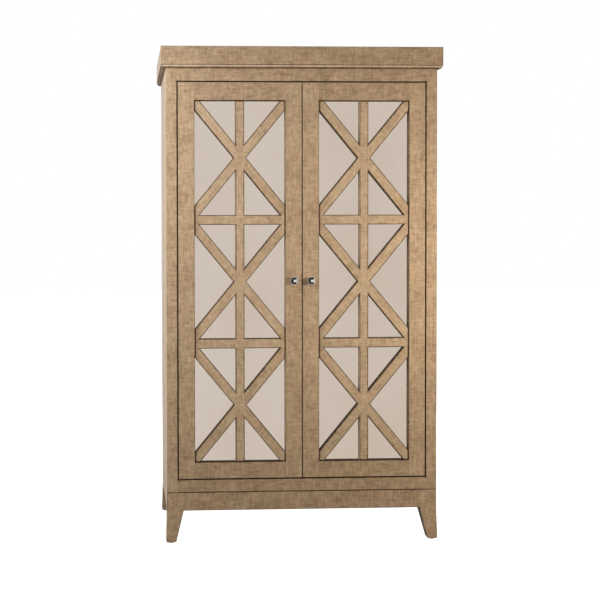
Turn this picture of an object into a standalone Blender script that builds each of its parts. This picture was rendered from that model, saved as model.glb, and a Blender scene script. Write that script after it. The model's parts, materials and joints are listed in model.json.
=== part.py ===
"""Two-door armoire with lattice mirror doors, a moulded cap and a base on tapered legs.

Metres, +Z up, X to the right, the doors face -Y. The origin lies on the floor, under the
middle of the whole object's box, from the tips of the knobs to the back.
"""

import math

import bmesh
import bpy
from mathutils import Vector

MM = 0.001
FIT = 0.3 * MM  # between pieces that touch
SIDES = (("left", -1), ("right", 1))

# ------------------------------------------------------------------ overall sizes
HEIGHT = 2032 * MM
CASE_WIDTH = 1118 * MM
CASE_DEPTH = 600 * MM

# ------------------------------------------------------------------ boards
BOARD = 20 * MM  # sides, decks, shelf and cleat
BACK_THICKNESS = 6 * MM
BACK_REBATE = 8 * MM  # how far the back panel reaches into each side
SHELF_SPACE = 260 * MM  # clear height over the upper shelf
SHELF_SETBACK = 20 * MM  # from the backs of the doors

# ------------------------------------------------------------------ cap
CAP_OVERHANG = 20 * MM
CAP_FASCIA = 75 * MM
CAP_BOARD = 22 * MM
QUIRK = 1.5 * MM  # height and depth of the groove under the fascia
CHAMFER_HEIGHT = 11.5 * MM
CHAMFER_DEPTH = 7 * MM

# ------------------------------------------------------------------ face frame
FACE_THICKNESS = 22 * MM
FACE_STILE = 45 * MM
FACE_RAIL_SHOWN = 52 * MM  # from the cap's underside to the door opening
FACE_BOTTOM_RAIL = 51.7 * MM

# ------------------------------------------------------------------ base
APRON_HEIGHT = 76.1 * MM
APRON_THICKNESS = 22 * MM
LEG_CLEAR = 132.5 * MM  # floor to the underside of the apron
LEG_TOP = 68.6 * MM
LEG_FOOT = 41 * MM
LEG_SPLAY = 4 * MM
LEG_ROUND = 5 * MM  # rounding around the foot
GLIDE_RADIUS = 13 * MM
GLIDE_THICKNESS = 3 * MM
GLIDE_EASE = 1 * MM

# ------------------------------------------------------------------ doors
DOOR_THICKNESS = 30 * MM
DOOR_GAP = 3 * MM
DOOR_STILE = 68 * MM
DOOR_TOP_RAIL = 75 * MM
DOOR_BOTTOM_RAIL = 68 * MM
GLASS_THICKNESS = 4 * MM
DOOR_BACK_THICKNESS = 4 * MM
REBATE_SPARE = 1 * MM  # depth left over behind the mirror's back board, its fits included
GLASS_REBATE = 10 * MM
GLASS_PLAY = 0.5 * MM

# ------------------------------------------------------------------ lattice
LATTICE_SETBACK = 5 * MM
LATTICE_PLAY = 1.2 * MM
VERTICAL_BAR = 36 * MM
HORIZONTAL_BAR = 40 * MM
DIAGONAL_BAR = 40 * MM
DIAGONAL_DROP = 6.5 * MM  # how far short of the corner, in height, a diagonal's middle line starts
LATTICE_ROWS = 3

# ------------------------------------------------------------------ knobs
KNOB_REACH = 30 * MM
KNOB_SIZE = 30 * MM
KNOB_TIP = 9 * MM
KNOB_NECK = 13 * MM
KNOB_NECK_LENGTH = 15 * MM
KNOB_RIM = 6 * MM
SCREW_RADIUS = 2 * MM
SCREW_PLAY = 0.3 * MM
SCREW_HEAD_RADIUS = 4.5 * MM
SCREW_HEAD_FLAT = 3.15 * MM  # radius of the flat on the head
SCREW_HEAD = 2.5 * MM
SCREW_HEAD_RIM = 0.85 * MM  # height of the head's rim
SCREW_GRIP = 10 * MM  # length inside the knob

# ------------------------------------------------------------------ knife hinges
LEAF_THICKNESS = 2.5 * MM
LEAF_END_WOOD = 7.5 * MM  # from the end of a leaf to the door stile's inner edge
LEAF_WIDTH = 10 * MM
LEAF_SETBACK = 6 * MM  # from the front of the door to the leaf's long arm
LEAF_NOSE = 3.5 * MM
LEAF_NECK = 8 * MM
LEAF_SPACE = 0.6 * MM  # between the two leaves of a pair
PIN_OFFSET = 4 * MM  # the pin stands this far in front of the doors
PIN_RADIUS = 2 * MM
PIN_PLAY = 0.15 * MM

# ------------------------------------------------------------------ inner fittings
RAIL_RADIUS = 12.5 * MM
RAIL_WALL = 1.5 * MM
RAIL_DROP = 55 * MM  # from the shelf's underside to the rail's middle
SOCKET_FLANGE_RADIUS = 26 * MM
SOCKET_FLANGE = 3 * MM
SOCKET_DEPTH = 12 * MM
SOCKET_WALL = 3 * MM
CATCH_WIDTH = 60 * MM
CATCH_DEPTH = 18 * MM
CATCH_HEIGHT = 14 * MM
STRIKE_SIZE = (16 * MM, 10 * MM)
STRIKE_THICKNESS = 1.5 * MM
STRIKE_DROP = 2 * MM  # from the door's top to the strike

# ------------------------------------------------------------------ places that follow from the sizes
CASE_X = CASE_WIDTH / 2
CAP_HEIGHT = CAP_FASCIA + QUIRK + CHAMFER_HEIGHT
GLASS_RECESS = DOOR_THICKNESS - GLASS_THICKNESS - DOOR_BACK_THICKNESS - REBATE_SPARE
LEAF_REACH = DOOR_GAP / 2 + DOOR_STILE - LEAF_END_WOOD  # from the pin to the end of a leaf
FRONT_REACH = max(KNOB_REACH, CAP_OVERHANG)
BACK_Y = (CASE_DEPTH + FRONT_REACH) / 2
FRONT_Y = BACK_Y - CASE_DEPTH
INNER_X = CASE_X - BOARD
FACE_BACK_Y = FRONT_Y + FACE_THICKNESS
PANEL_FRONT_Y = FACE_BACK_Y + FIT
BACK_FACE_Y = BACK_Y - BACK_THICKNESS  # front of the back panel

CASE_BOTTOM = LEG_CLEAR + APRON_HEIGHT
BOARDS_BOTTOM = CASE_BOTTOM + FIT
BOARDS_TOP = HEIGHT - CAP_BOARD - FIT
CAP_UNDERSIDE = HEIGHT - CAP_HEIGHT
OPENING_X = CASE_X - FACE_STILE
OPENING_TOP = CAP_UNDERSIDE - FACE_RAIL_SHOWN
OPENING_BOTTOM = CASE_BOTTOM + FACE_BOTTOM_RAIL

DOOR_TOP = OPENING_TOP - DOOR_GAP
DOOR_BOTTOM = OPENING_BOTTOM + DOOR_GAP
DOOR_OUTER_X = OPENING_X - DOOR_GAP
DOOR_INNER_X = DOOR_GAP / 2
DOOR_BACK_Y = FRONT_Y + DOOR_THICKNESS
GLASS_Y = FRONT_Y + GLASS_RECESS
VIEW_OUTER_X = DOOR_OUTER_X - DOOR_STILE
VIEW_INNER_X = DOOR_INNER_X + DOOR_STILE
VIEW_TOP = DOOR_TOP - DOOR_TOP_RAIL
VIEW_BOTTOM = DOOR_BOTTOM + DOOR_BOTTOM_RAIL
PIN_X = OPENING_X - DOOR_GAP / 2
PIN_Y = FRONT_Y - PIN_OFFSET
KNOB_X = DOOR_INNER_X + DOOR_STILE / 2
KNOB_Z = (DOOR_TOP + DOOR_BOTTOM) / 2

SHELF_TOP = OPENING_TOP - SHELF_SPACE
SHELF_UNDERSIDE = SHELF_TOP - BOARD
RAIL_Z = SHELF_UNDERSIDE - RAIL_DROP
RAIL_Y = (DOOR_BACK_Y + BACK_FACE_Y) / 2


# ------------------------------------------------------------------ helpers
def material(name, colour, roughness, metallic=0.0):
    made = bpy.data.materials.new(name)
    made.use_nodes = True
    shader = made.node_tree.nodes["Principled BSDF"]
    shader.inputs["Base Color"].default_value = (*colour, 1)
    shader.inputs["Roughness"].default_value = roughness
    shader.inputs["Metallic"].default_value = metallic
    return made


def add_object(name, mesh_data, finish, place=(0, 0, 0), parent=None):
    """One named object with its origin at a place in the world, under an empty if it moves."""
    mesh = bpy.data.meshes.new(name)
    bmesh.ops.recalc_face_normals(mesh_data, faces=mesh_data.faces)
    mesh_data.to_mesh(mesh)
    mesh_data.free()
    made = bpy.data.objects.new(name, mesh)
    bpy.context.scene.collection.objects.link(made)
    if finish:
        mesh.materials.append(finish)
    made.location = Vector(place)
    if parent:
        made.parent = parent
        made.location -= parent.location
    return made


def board(name, low, high, finish, parent=None):
    """A rectangular board between two corners given in the world."""
    low, high = Vector(low), Vector(high)
    solid = bmesh.new()
    bmesh.ops.create_cube(solid, size=1)
    bmesh.ops.scale(solid, verts=solid.verts, vec=high - low)
    return add_object(name, solid, finish, (low + high) / 2, parent)


def loft(name, sections, finish, place=(0, 0, 0), parent=None):
    """A solid that passes through outlines with the same count of points, given around its place."""
    solid = bmesh.new()
    rings = [[solid.verts.new(point) for point in section] for section in sections]
    solid.faces.new(rings[0])
    solid.faces.new(rings[-1])
    for near, far in zip(rings, rings[1:]):
        for i in range(len(near)):
            solid.faces.new((near[i - 1], near[i], far[i], far[i - 1]))
    return add_object(name, solid, finish, place, parent)


def turned(name, profile, finish, place, axis="Z", parent=None, steps=24):
    """A solid of revolution from (radius, height) points, from axis to axis or a closed outline."""
    solid = bmesh.new()
    ring = [solid.verts.new((radius, 0, height)) for radius, height in profile]
    edges = [solid.edges.new(pair) for pair in zip(ring, ring[1:])]
    if profile[0][0] > 0:
        edges.append(solid.edges.new((ring[-1], ring[0])))
    bmesh.ops.spin(
        solid,
        geom=ring + edges,
        cent=(0, 0, 0),
        axis=(0, 0, 1),
        angle=2 * math.pi,
        steps=steps,
        use_merge=True,
    )
    bmesh.ops.remove_doubles(solid, verts=solid.verts, dist=0.001 * MM)
    made = add_object(name, solid, finish, place, parent)
    made.rotation_euler = {
        "Z": (0, 0, 0),
        "X": (0, math.radians(90), 0),
        "-X": (0, math.radians(-90), 0),
        "-Y": (math.radians(90), 0, 0),
    }[axis]
    made.data.shade_smooth()
    made.data.set_sharp_from_angle(angle=math.radians(30))
    return made


def arc(middle, radius, start, end, steps=8):
    """Points on an arc, with the angles in degrees."""
    turns = [math.radians(start + (end - start) * i / steps) for i in range(steps + 1)]
    return [(middle[0] + radius * math.cos(t), middle[1] + radius * math.sin(t)) for t in turns]


def combine(target, tool, operation="DIFFERENCE"):
    """Cuts a hidden tool out of a piece, or joins it on."""
    tool.hide_render = True
    tool.display_type = "WIRE"
    change = target.modifiers.new(tool.name, "BOOLEAN")
    change.operation = operation
    change.object = tool


def span(side, near, far):
    """The lower and upper X of a stretch on one side, given its distances from the middle."""
    return sorted((side * near, side * far))


# ------------------------------------------------------------------ case
def build_sides(finish):
    """The side panels, rebated at the back, and the back panel that lies in the rebates."""
    rebate_y = BACK_FACE_Y - FIT
    for word, side in SIDES:
        outline = [
            (side * CASE_X, PANEL_FRONT_Y),
            (side * INNER_X, PANEL_FRONT_Y),
            (side * INNER_X, rebate_y),
            (side * (INNER_X + BACK_REBATE), rebate_y),
            (side * (INNER_X + BACK_REBATE), BACK_Y),
            (side * CASE_X, BACK_Y),
        ]
        sections = [[(x, y, z) for x, y in outline] for z in (BOARDS_BOTTOM, BOARDS_TOP)]
        loft(f"{word}_side_panel", sections, finish)


def build_boards(finish, back_finish):
    reach = INNER_X - FIT
    behind = BACK_FACE_Y - 2 * FIT
    back_x = INNER_X + BACK_REBATE - FIT
    board("back_panel", (-back_x, BACK_FACE_Y, BOARDS_BOTTOM), (back_x, BACK_Y, BOARDS_TOP), back_finish)
    board(
        "bottom_deck",
        (-reach, PANEL_FRONT_Y, OPENING_BOTTOM - BOARD),
        (reach, behind, OPENING_BOTTOM),
        finish,
    )
    top_deck_top = OPENING_TOP + BOARD
    board("top_deck", (-reach, PANEL_FRONT_Y, OPENING_TOP), (reach, behind, top_deck_top), finish)
    board(
        "cap_back_rail",
        (-reach, behind - BOARD, top_deck_top + FIT),
        (reach, behind, BOARDS_TOP),
        finish,
    )
    board(
        "upper_shelf",
        (-reach, DOOR_BACK_Y + SHELF_SETBACK, SHELF_UNDERSIDE),
        (reach, behind, SHELF_TOP),
        finish,
    )


def build_face_frame(finish):
    rail_x = OPENING_X - FIT
    for word, side in SIDES:
        low_x, high_x = span(side, OPENING_X, CASE_X)
        board(
            f"face_stile_{word}",
            (low_x, FRONT_Y, BOARDS_BOTTOM),
            (high_x, FACE_BACK_Y, BOARDS_TOP),
            finish,
        )
    return {
        "top": board(
            "face_rail_top",
            (-rail_x, FRONT_Y, OPENING_TOP),
            (rail_x, FACE_BACK_Y, BOARDS_TOP),
            finish,
        ),
        "bottom": board(
            "face_rail_bottom",
            (-rail_x, FRONT_Y, BOARDS_BOTTOM),
            (rail_x, FACE_BACK_Y, OPENING_BOTTOM),
            finish,
        ),
    }


# ------------------------------------------------------------------ cap
def cap_profile():
    """The moulding's outline: distance out from the case, and height."""
    fascia_bottom = HEIGHT - CAP_FASCIA
    quirk_bottom = fascia_bottom - QUIRK
    return [
        (FIT, HEIGHT),
        (CAP_OVERHANG, HEIGHT),
        (CAP_OVERHANG, fascia_bottom),
        (CAP_OVERHANG - QUIRK, fascia_bottom),
        (CAP_OVERHANG - QUIRK, quirk_bottom),
        (CAP_OVERHANG, quirk_bottom),
        (CAP_OVERHANG - CHAMFER_DEPTH, CAP_UNDERSIDE),
        (FIT, CAP_UNDERSIDE),
    ]


def build_cap(finish):
    """A board inside three mitred mouldings."""
    mitre_play = FIT / math.sqrt(2)  # each piece gives up half of the gap across the mitre
    front = [
        [(end * (CASE_X + out - mitre_play), FRONT_Y - out, z) for out, z in cap_profile()]
        for end in (-1, 1)
    ]
    loft("cap_front", front, finish)
    for word, side in SIDES:
        sections = [
            [(side * (CASE_X + out), FRONT_Y - out + mitre_play, z) for out, z in cap_profile()],
            [(side * (CASE_X + out), BACK_Y, z) for out, z in cap_profile()],
        ]
        loft(f"cap_{word}", sections, finish)
    board(
        "cap_top_board",
        (-CASE_X, FRONT_Y, HEIGHT - CAP_BOARD),
        (CASE_X, BACK_Y, HEIGHT),
        finish,
    )


# ------------------------------------------------------------------ base
def build_leg(name, side, end, finish):
    """A square post, tapered under the apron and splayed out; end is -1 in front and 1 at the back."""
    edge_y = FRONT_Y if end < 0 else BACK_Y
    foot_edge_y = FRONT_Y - LEG_SPLAY if end < 0 else BACK_Y

    def square(size, outer_x, outer_y, z):
        inner_x, inner_y = outer_x - size, outer_y - end * size
        corners = [(outer_x, outer_y), (inner_x, outer_y), (inner_x, inner_y), (outer_x, inner_y)]
        return [(side * x, y, z) for x, y in corners]

    foot_z = GLIDE_THICKNESS + FIT
    sections = [
        square(LEG_FOOT, CASE_X + LEG_SPLAY, foot_edge_y, foot_z),
        square(LEG_TOP, CASE_X, edge_y, LEG_CLEAR),
        square(LEG_TOP, CASE_X, edge_y, CASE_BOTTOM),
    ]
    leg = loft(name, sections, finish)
    solid = bmesh.new()
    solid.from_mesh(leg.data)
    foot_edges = [edge for edge in solid.edges if all(v.co.z < foot_z + FIT for v in edge.verts)]
    bmesh.ops.bevel(
        solid,
        geom=foot_edges,
        offset=LEG_ROUND,
        segments=3,
        profile=0.5,
        affect="EDGES",
        material=-1,
    )
    solid.to_mesh(leg.data)
    solid.free()


def build_glide(name, side, end, finish):
    """A turned disc under the middle of a foot."""
    foot_edge_y = FRONT_Y - LEG_SPLAY if end < 0 else BACK_Y
    profile = [
        (0, 0),
        (GLIDE_RADIUS - GLIDE_EASE, 0),
        (GLIDE_RADIUS, GLIDE_EASE),
        (GLIDE_RADIUS, GLIDE_THICKNESS),
        (0, GLIDE_THICKNESS),
    ]
    place = (side * (CASE_X + LEG_SPLAY - LEG_FOOT / 2), foot_edge_y - end * LEG_FOOT / 2, 0)
    turned(name, profile, finish, place)


def build_base(finish, glide_finish):
    apron_x = CASE_X - LEG_TOP - FIT
    apron_y = LEG_TOP + FIT
    board(
        "base_rail_front",
        (-apron_x, FRONT_Y, LEG_CLEAR),
        (apron_x, FRONT_Y + APRON_THICKNESS, CASE_BOTTOM),
        finish,
    )
    board(
        "base_rail_back",
        (-apron_x, BACK_Y - APRON_THICKNESS, LEG_CLEAR),
        (apron_x, BACK_Y, CASE_BOTTOM),
        finish,
    )
    for word, side in SIDES:
        low_x, high_x = span(side, CASE_X - APRON_THICKNESS, CASE_X)
        board(
            f"base_rail_{word}",
            (low_x, FRONT_Y + apron_y, LEG_CLEAR),
            (high_x, BACK_Y - apron_y, CASE_BOTTOM),
            finish,
        )
        for place, end in (("front", -1), ("back", 1)):
            build_leg(f"leg_{place}_{word}", side, end, finish)
            build_glide(f"glide_{place}_{word}", side, end, glide_finish)


# ------------------------------------------------------------------ knife hinges
def leaf_outline(side):
    """The L shape of a leaf around its pin: a round nose, a neck and a long arm along the door."""
    neck_x = DOOR_GAP / 2 + FIT
    arm_front = PIN_OFFSET + LEAF_SETBACK
    shape = [
        *arc((0, 0), LEAF_NOSE, -90, -270, 10),
        (neck_x, LEAF_NOSE),
        (neck_x, arm_front + LEAF_WIDTH),
        (LEAF_REACH, arm_front + LEAF_WIDTH),
        (LEAF_REACH, arm_front),
        (neck_x + LEAF_NECK, arm_front),
        (neck_x + LEAF_NECK, LEAF_NOSE - FIT),
    ]
    return [(-side * x, y) for x, y in shape]


def build_leaf(name, side, low, high, finish, parent=None):
    outline = leaf_outline(side)
    sections = [[(x, y, z) for x, y in outline] for z in (low, high)]
    return loft(name, sections, finish, (side * PIN_X, PIN_Y, 0), parent)


def leaf_mortise(name, target, side, low, high):
    """The pocket for a leaf in a door's end or a face rail, open at the front for the neck."""
    neck_x = PIN_X - DOOR_GAP / 2 - LEAF_NECK - 2 * FIT
    end_x = PIN_X - LEAF_REACH - FIT
    outer_x = OPENING_X + DOOR_GAP
    arm_y = FRONT_Y + LEAF_SETBACK - FIT
    back_y = FRONT_Y + LEAF_SETBACK + LEAF_WIDTH + FIT
    open_y = FRONT_Y - BOARD
    shape = [
        (end_x, arm_y),
        (neck_x, arm_y),
        (neck_x, open_y),
        (outer_x, open_y),
        (outer_x, back_y),
        (end_x, back_y),
    ]
    sections = [[(side * x, y, z) for x, y in shape] for z in (low, high)]
    combine(target, loft(f"{name}_mortise", sections, None))


def build_hinges(word, side, frame_rails, door_stile, axis, finish):
    """Two pairs of leaves: one at the top of the door and one at its foot."""
    for level, middle, up in (
        ("top", OPENING_TOP - DOOR_GAP / 2, 1),
        ("bottom", OPENING_BOTTOM + DOOR_GAP / 2, -1),
    ):
        near, far = LEAF_SPACE / 2, LEAF_SPACE / 2 + LEAF_THICKNESS
        clear = far + FIT
        deep = BOARD  # the cutters run on into the open
        frame_low, frame_high = sorted((middle + up * near, middle + up * far))
        door_low, door_high = sorted((middle - up * near, middle - up * far))
        frame_leaf = build_leaf(f"{word}_frame_leaf_{level}", side, frame_low, frame_high, finish)
        hole = turned(
            f"{word}_{level}_pin_cut",
            [(0, -deep), (PIN_RADIUS + PIN_PLAY, -deep), (PIN_RADIUS + PIN_PLAY, deep), (0, deep)],
            None,
            (side * PIN_X, PIN_Y, middle),
        )
        combine(frame_leaf, hole)

        door_leaf = build_leaf(f"{word}_door_leaf_{level}", side, door_low, door_high, finish, axis)
        leaf_core = middle - up * (near + LEAF_THICKNESS / 2)
        pin_start, pin_end = sorted((leaf_core, middle + up * (far + FIT)))
        pin = turned(
            f"{word}_{level}_pin_join",
            [(0, pin_start), (PIN_RADIUS, pin_start), (PIN_RADIUS, pin_end), (0, pin_end)],
            None,
            (side * PIN_X, PIN_Y, 0),
        )
        combine(door_leaf, pin, "UNION")

        rail_low, rail_high = sorted((middle, middle + up * clear))
        leaf_mortise(f"{word}_{level}_rail", frame_rails[level], side, rail_low, rail_high)
        stile_low, stile_high = sorted((middle, middle - up * clear))
        leaf_mortise(f"{word}_{level}_stile", door_stile, side, stile_low, stile_high)


# ------------------------------------------------------------------ doors
def lattice_holes(half_width, half_height):
    """The openings of one lattice panel, around its middle.

    Four small triangles lie beside the vertical bar, over and under the crossing, and a larger one
    opens to each side. A diagonal's middle line starts DIAGONAL_DROP short of the corner in height.
    """
    slope = (half_height - DIAGONAL_DROP) / half_width
    lift = DIAGONAL_BAR / 2 * math.sqrt(1 + slope * slope)
    edge = VERTICAL_BAR / 2
    holes = []
    for up in (-1, 1):
        for out in (-1, 1):
            triangle = [
                (edge, slope * edge + lift),
                ((half_height - lift) / slope, half_height),
                (edge, half_height),
            ]
            holes.append([(out * x, up * z) for x, z in triangle])
    for out in (-1, 1):
        past = half_width + BOARD  # the side openings run out through the lattice's edge
        tall = slope * past - lift
        holes.append([(out * lift / slope, 0), (out * past, tall), (out * past, -tall)])
    return holes


def build_lattice(word, side, axis, finish):
    """One plate with all the panels' openings cut through it."""
    low_x, high_x = span(side, VIEW_INNER_X, VIEW_OUTER_X)
    middle_x = (low_x + high_x) / 2
    front, back = FRONT_Y + LATTICE_SETBACK, GLASS_Y - FIT
    name = f"{word}_door_lattice"
    plate = board(
        name,
        (low_x + LATTICE_PLAY, front, VIEW_BOTTOM + LATTICE_PLAY),
        (high_x - LATTICE_PLAY, back, VIEW_TOP - LATTICE_PLAY),
        finish,
        axis,
    )
    opening = VIEW_TOP - VIEW_BOTTOM
    panel = (opening - (LATTICE_ROWS - 1) * HORIZONTAL_BAR) / LATTICE_ROWS
    half_width = (high_x - low_x) / 2
    for row in range(LATTICE_ROWS):
        middle_z = VIEW_BOTTOM + panel / 2 + row * (panel + HORIZONTAL_BAR)
        for number, hole in enumerate(lattice_holes(half_width, panel / 2)):
            sections = [[(x, y, z) for x, z in hole] for y in (front - BOARD, back + BOARD)]
            tool = loft(f"{name}_cut_{row}_{number}", sections, None, (middle_x, 0, middle_z), axis)
            combine(plate, tool)


def build_knob(word, side, axis, stile, finish, screw_finish):
    """A square neck, a rim and a low pyramid with a flat tip; its screw comes through the stile."""
    knob_base = FRONT_Y - FIT
    neck_y = knob_base - KNOB_NECK_LENGTH
    rim_y = neck_y - KNOB_RIM
    tip_y = FRONT_Y - KNOB_REACH

    def square(size, y):
        half = size / 2
        return [(-half, y, -half), (half, y, -half), (half, y, half), (-half, y, half)]

    sections = [
        square(KNOB_NECK, knob_base),
        square(KNOB_NECK, neck_y),
        square(KNOB_SIZE, neck_y),
        square(KNOB_SIZE, rim_y),
        square(KNOB_TIP, tip_y),
    ]
    place = (side * KNOB_X, 0, KNOB_Z)
    knob = loft(f"{word}_door_knob", sections, finish, place, axis)

    bore = SCREW_RADIUS + SCREW_PLAY
    bore_end = knob_base - SCREW_GRIP - FIT
    out_y = DOOR_BACK_Y + BOARD
    hole = turned(
        f"{word}_knob_bore",
        [(0, -out_y), (bore, -out_y), (bore, -bore_end), (0, -bore_end)],
        None,
        place,
        "-Y",
        axis,
    )
    combine(knob, hole)
    combine(stile, hole)

    head_y = DOOR_BACK_Y + FIT
    head_back = head_y + SCREW_HEAD
    screw_end = knob_base - SCREW_GRIP
    profile = [
        (0, -head_back),
        (SCREW_HEAD_FLAT, -head_back),
        (SCREW_HEAD_RADIUS, -head_y - SCREW_HEAD_RIM),
        (SCREW_HEAD_RADIUS, -head_y),
        (SCREW_RADIUS, -head_y),
        (SCREW_RADIUS, -screw_end),
        (0, -screw_end),
    ]
    turned(f"{word}_door_knob_screw", profile, screw_finish, place, "-Y", axis)


def build_door(word, side, frame_rails, finishes):
    axis = bpy.data.objects.new(f"{word}_door_axis", None)
    bpy.context.scene.collection.objects.link(axis)
    axis.location = (side * PIN_X, PIN_Y, 0)

    def frame_piece(name, near, far, low_z, high_z):
        low_x, high_x = span(side, near, far)
        low, high = (low_x, FRONT_Y, low_z), (high_x, DOOR_BACK_Y, high_z)
        return board(f"{word}_door_{name}", low, high, finishes["wood"], axis)

    hinge_stile = frame_piece("hinge_stile", VIEW_OUTER_X, DOOR_OUTER_X, DOOR_BOTTOM, DOOR_TOP)
    meeting_stile = frame_piece("meeting_stile", DOOR_INNER_X, VIEW_INNER_X, DOOR_BOTTOM, DOOR_TOP)
    rail_near, rail_far = VIEW_INNER_X + FIT, VIEW_OUTER_X - FIT
    top_rail = frame_piece("top_rail", rail_near, rail_far, VIEW_TOP, DOOR_TOP)
    bottom_rail = frame_piece("bottom_rail", rail_near, rail_far, DOOR_BOTTOM, VIEW_BOTTOM)

    rebate_x = span(side, VIEW_INNER_X - GLASS_REBATE, VIEW_OUTER_X + GLASS_REBATE)
    rebate_z = (VIEW_BOTTOM - GLASS_REBATE, VIEW_TOP + GLASS_REBATE)
    rebate_low = (rebate_x[0], GLASS_Y, rebate_z[0])
    rebate_high = (rebate_x[1], DOOR_BACK_Y + BOARD, rebate_z[1])
    rebate = board(f"{word}_door_rebate", rebate_low, rebate_high, None, axis)
    for piece in (hinge_stile, meeting_stile, top_rail, bottom_rail):
        combine(piece, rebate)

    sheets = (
        ("mirror", GLASS_Y + FIT, GLASS_THICKNESS, finishes["mirror"]),
        ("back_board", GLASS_Y + 2 * FIT + GLASS_THICKNESS, DOOR_BACK_THICKNESS, finishes["inside"]),
    )
    for name, front, thickness, finish in sheets:
        board(
            f"{word}_door_{name}",
            (rebate_x[0] + GLASS_PLAY, front, rebate_z[0] + GLASS_PLAY),
            (rebate_x[1] - GLASS_PLAY, front + thickness, rebate_z[1] - GLASS_PLAY),
            finish,
            axis,
        )

    build_lattice(word, side, axis, finishes["wood"])
    build_knob(word, side, axis, meeting_stile, finishes["nickel"], finishes["steel"])
    build_hinges(word, side, frame_rails, hinge_stile, axis, finishes["bronze"])

    width, height = STRIKE_SIZE
    low_x, high_x = span(side, CATCH_WIDTH / 4 - width / 2, CATCH_WIDTH / 4 + width / 2)
    strike_top = DOOR_TOP - STRIKE_DROP
    board(
        f"{word}_door_catch_strike",
        (low_x, DOOR_BACK_Y + FIT, strike_top - height),
        (high_x, DOOR_BACK_Y + FIT + STRIKE_THICKNESS, strike_top),
        finishes["steel"],
        axis,
    )


# ------------------------------------------------------------------ inner fittings
def build_hanging_rail(rail_finish, socket_finish):
    """A tube across the case, held at each end in a flanged socket."""
    socket_face = INNER_X - FIT
    rail_end = socket_face - SOCKET_FLANGE - FIT
    bore = RAIL_RADIUS - RAIL_WALL
    tube = [(bore, -rail_end), (RAIL_RADIUS, -rail_end), (RAIL_RADIUS, rail_end), (bore, rail_end)]
    turned("hanging_rail", tube, rail_finish, (0, RAIL_Y, RAIL_Z), "X", steps=32)
    cup_bore = RAIL_RADIUS + FIT
    cup_outside = cup_bore + SOCKET_WALL
    profile = [
        (0, 0),
        (SOCKET_FLANGE_RADIUS, 0),
        (SOCKET_FLANGE_RADIUS, SOCKET_FLANGE),
        (cup_outside, SOCKET_FLANGE),
        (cup_outside, SOCKET_DEPTH),
        (cup_bore, SOCKET_DEPTH),
        (cup_bore, SOCKET_FLANGE),
        (0, SOCKET_FLANGE),
    ]
    for word, side in SIDES:
        place = (side * socket_face, RAIL_Y, RAIL_Z)
        turned(f"rail_socket_{word}", profile, socket_finish, place, "-X" if side > 0 else "X", steps=32)


def build_catch(finish):
    """A double magnetic catch under the top deck, just behind the strikes."""
    front = DOOR_BACK_Y + 2 * FIT + STRIKE_THICKNESS
    board(
        "magnetic_catch",
        (-CATCH_WIDTH / 2, front, OPENING_TOP - FIT - CATCH_HEIGHT),
        (CATCH_WIDTH / 2, front + CATCH_DEPTH, OPENING_TOP - FIT),
        finish,
    )


# ------------------------------------------------------------------ the armoire
for item in list(bpy.data.objects):
    bpy.data.objects.remove(item)

WOVEN = material("woven_tan", (0.45, 0.34, 0.22), 0.75)
INSIDE = material("inside_board", (0.50, 0.40, 0.28), 0.7)
BLACK = material("black_plastic", (0.02, 0.02, 0.02), 0.6)
STEEL = material("steel", (0.55, 0.55, 0.55), 0.35, 1.0)
DOOR_FINISHES = {
    "wood": WOVEN,
    "inside": INSIDE,
    "mirror": material("mirror_glass", (0.75, 0.72, 0.68), 0.05, 1.0),
    "nickel": material("polished_nickel", (0.75, 0.72, 0.68), 0.12, 1.0),
    "bronze": material("dark_bronze", (0.09, 0.06, 0.04), 0.45, 1.0),
    "steel": STEEL,
}

build_sides(WOVEN)
build_boards(INSIDE, INSIDE)
RAILS = build_face_frame(WOVEN)
build_cap(WOVEN)
build_base(WOVEN, BLACK)
build_hanging_rail(STEEL, STEEL)
build_catch(BLACK)
for door_word, door_side in SIDES:
    build_door(door_word, door_side, RAILS, DOOR_FINISHES)
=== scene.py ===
# %% [markdown]
# # A two-door armoire wrapped in woven raffia
#
# The real cupboard is a plain carcass of boards with a woven raffia cloth glued over every outside
# face, brushed with a dark glaze that stays in the corners. Two doors hold mirrors behind a flat
# lattice. The boards, doors, hinges and fittings already exist as solids with true sizes. This script
# gives each one its finish: it takes a copy of a solid, softens its edges, lays the cloth's pattern on
# it, and lets the copy stand for the solid. The lattice and the knobs are modelled afresh, because
# they carry the most detail.

# %% Load the solids
import json
import math

import bmesh
import bpy
from mathutils import Matrix, Vector


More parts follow.
